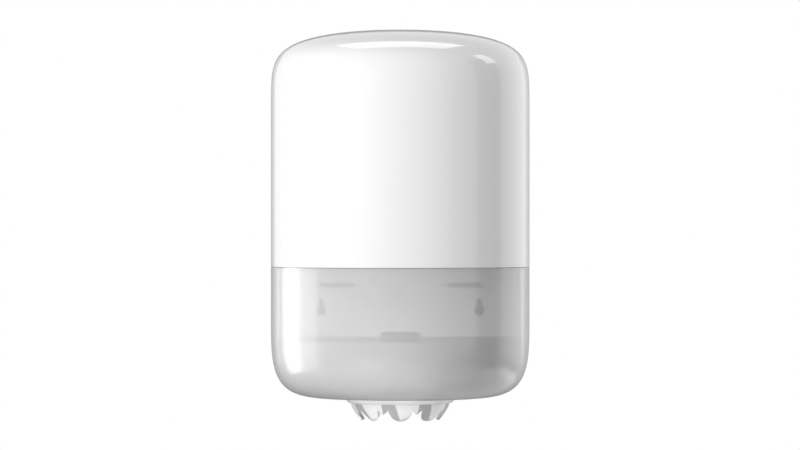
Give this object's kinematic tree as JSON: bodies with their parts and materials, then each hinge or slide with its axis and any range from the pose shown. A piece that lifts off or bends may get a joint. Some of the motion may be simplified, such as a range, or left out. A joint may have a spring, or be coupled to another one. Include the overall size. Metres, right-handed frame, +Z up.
{
  "type": "wiper dispenser",
  "caption": "Wall-hung centre-feed wiper dispenser: hinged D-shaped cover with a see-through lower band over a back plate, roll tray and fluted nozzle.",
  "frame": {"origin": "on the wall plane, midway between the seats of the two lower keyholes", "axes": "+Z up, +Y into the wall, +X to the right of someone who faces the dispenser"},
  "size_m": [0.239, 0.227, 0.3605],
  "materials": {
    "cover_white": "glossy moulded white",
    "cover_smoke": "glossy see-through smoke grey",
    "plate_white": "satin moulded white",
    "tray_grey": "satin moulded grey",
    "collar_white": "glossy moulded white",
    "nozzle_soft": "satin soft white plastic",
    "lock_grey": "satin moulded light grey",
    "button_white": "glossy moulded white",
    "steel": "bright zinc-plated steel"
  },
  "bodies": {
    "wall_unit": {"back_plate": "plate_white", "roll_tray": "tray_grey", "tray_screw_1": "steel", "tray_screw_2": "steel", "tray_screw_3": "steel", "tray_screw_4": "steel", "lock_catch": "lock_grey", "catch_screw_1": "steel", "catch_screw_2": "steel", "hinge_pin_left": "steel", "hinge_pin_right": "steel", "nozzle_collar": "collar_white", "nozzle_petals": "nozzle_soft", "nozzle_ring": "tray_grey"},
    "cover": {"cover_shell": "cover_white", "cover_band": "cover_smoke", "lock_housing": "lock_grey", "lock_screw_left": "steel", "lock_screw_right": "steel", "button_spring": "steel", "latch_pin": "steel"},
    "lock_button": {"lock_button": "button_white"},
    "key_barrel": {"key_barrel": "steel"},
    "latch_lever": {"latch_lever": "lock_grey"}
  },
  "joints": [
    {"name": "cover_hinge", "type": "hinge", "parent": "wall_unit", "child": "cover", "pos_m": [0, -0.0095, -0.0798], "axis": [1, 0, 0], "range_deg": [0, 90]},
    {"name": "button_press", "type": "slide", "parent": "cover", "child": "lock_button", "axis": [0, 0, -1], "range_m": [0, 0.0035], "stiffness_N_per_m": 800, "springref_m": -0.002, "deforming": ["button_spring"]},
    {"name": "key_turn", "type": "hinge", "parent": "lock_button", "child": "key_barrel", "pos_m": [0, -0.04, 0.24], "axis": [0, 0, -1], "range_deg": [0, 90]},
    {"name": "latch_tilt", "type": "hinge", "parent": "cover", "child": "latch_lever", "pos_m": [0, -0.027, 0.22775], "axis": [1, 0, 0], "range_deg": [0, 16.1]}
  ],
  "couplings": [
    {"joint": "latch_tilt", "follows": "button_press", "rad_per_m": 80}
  ]
}
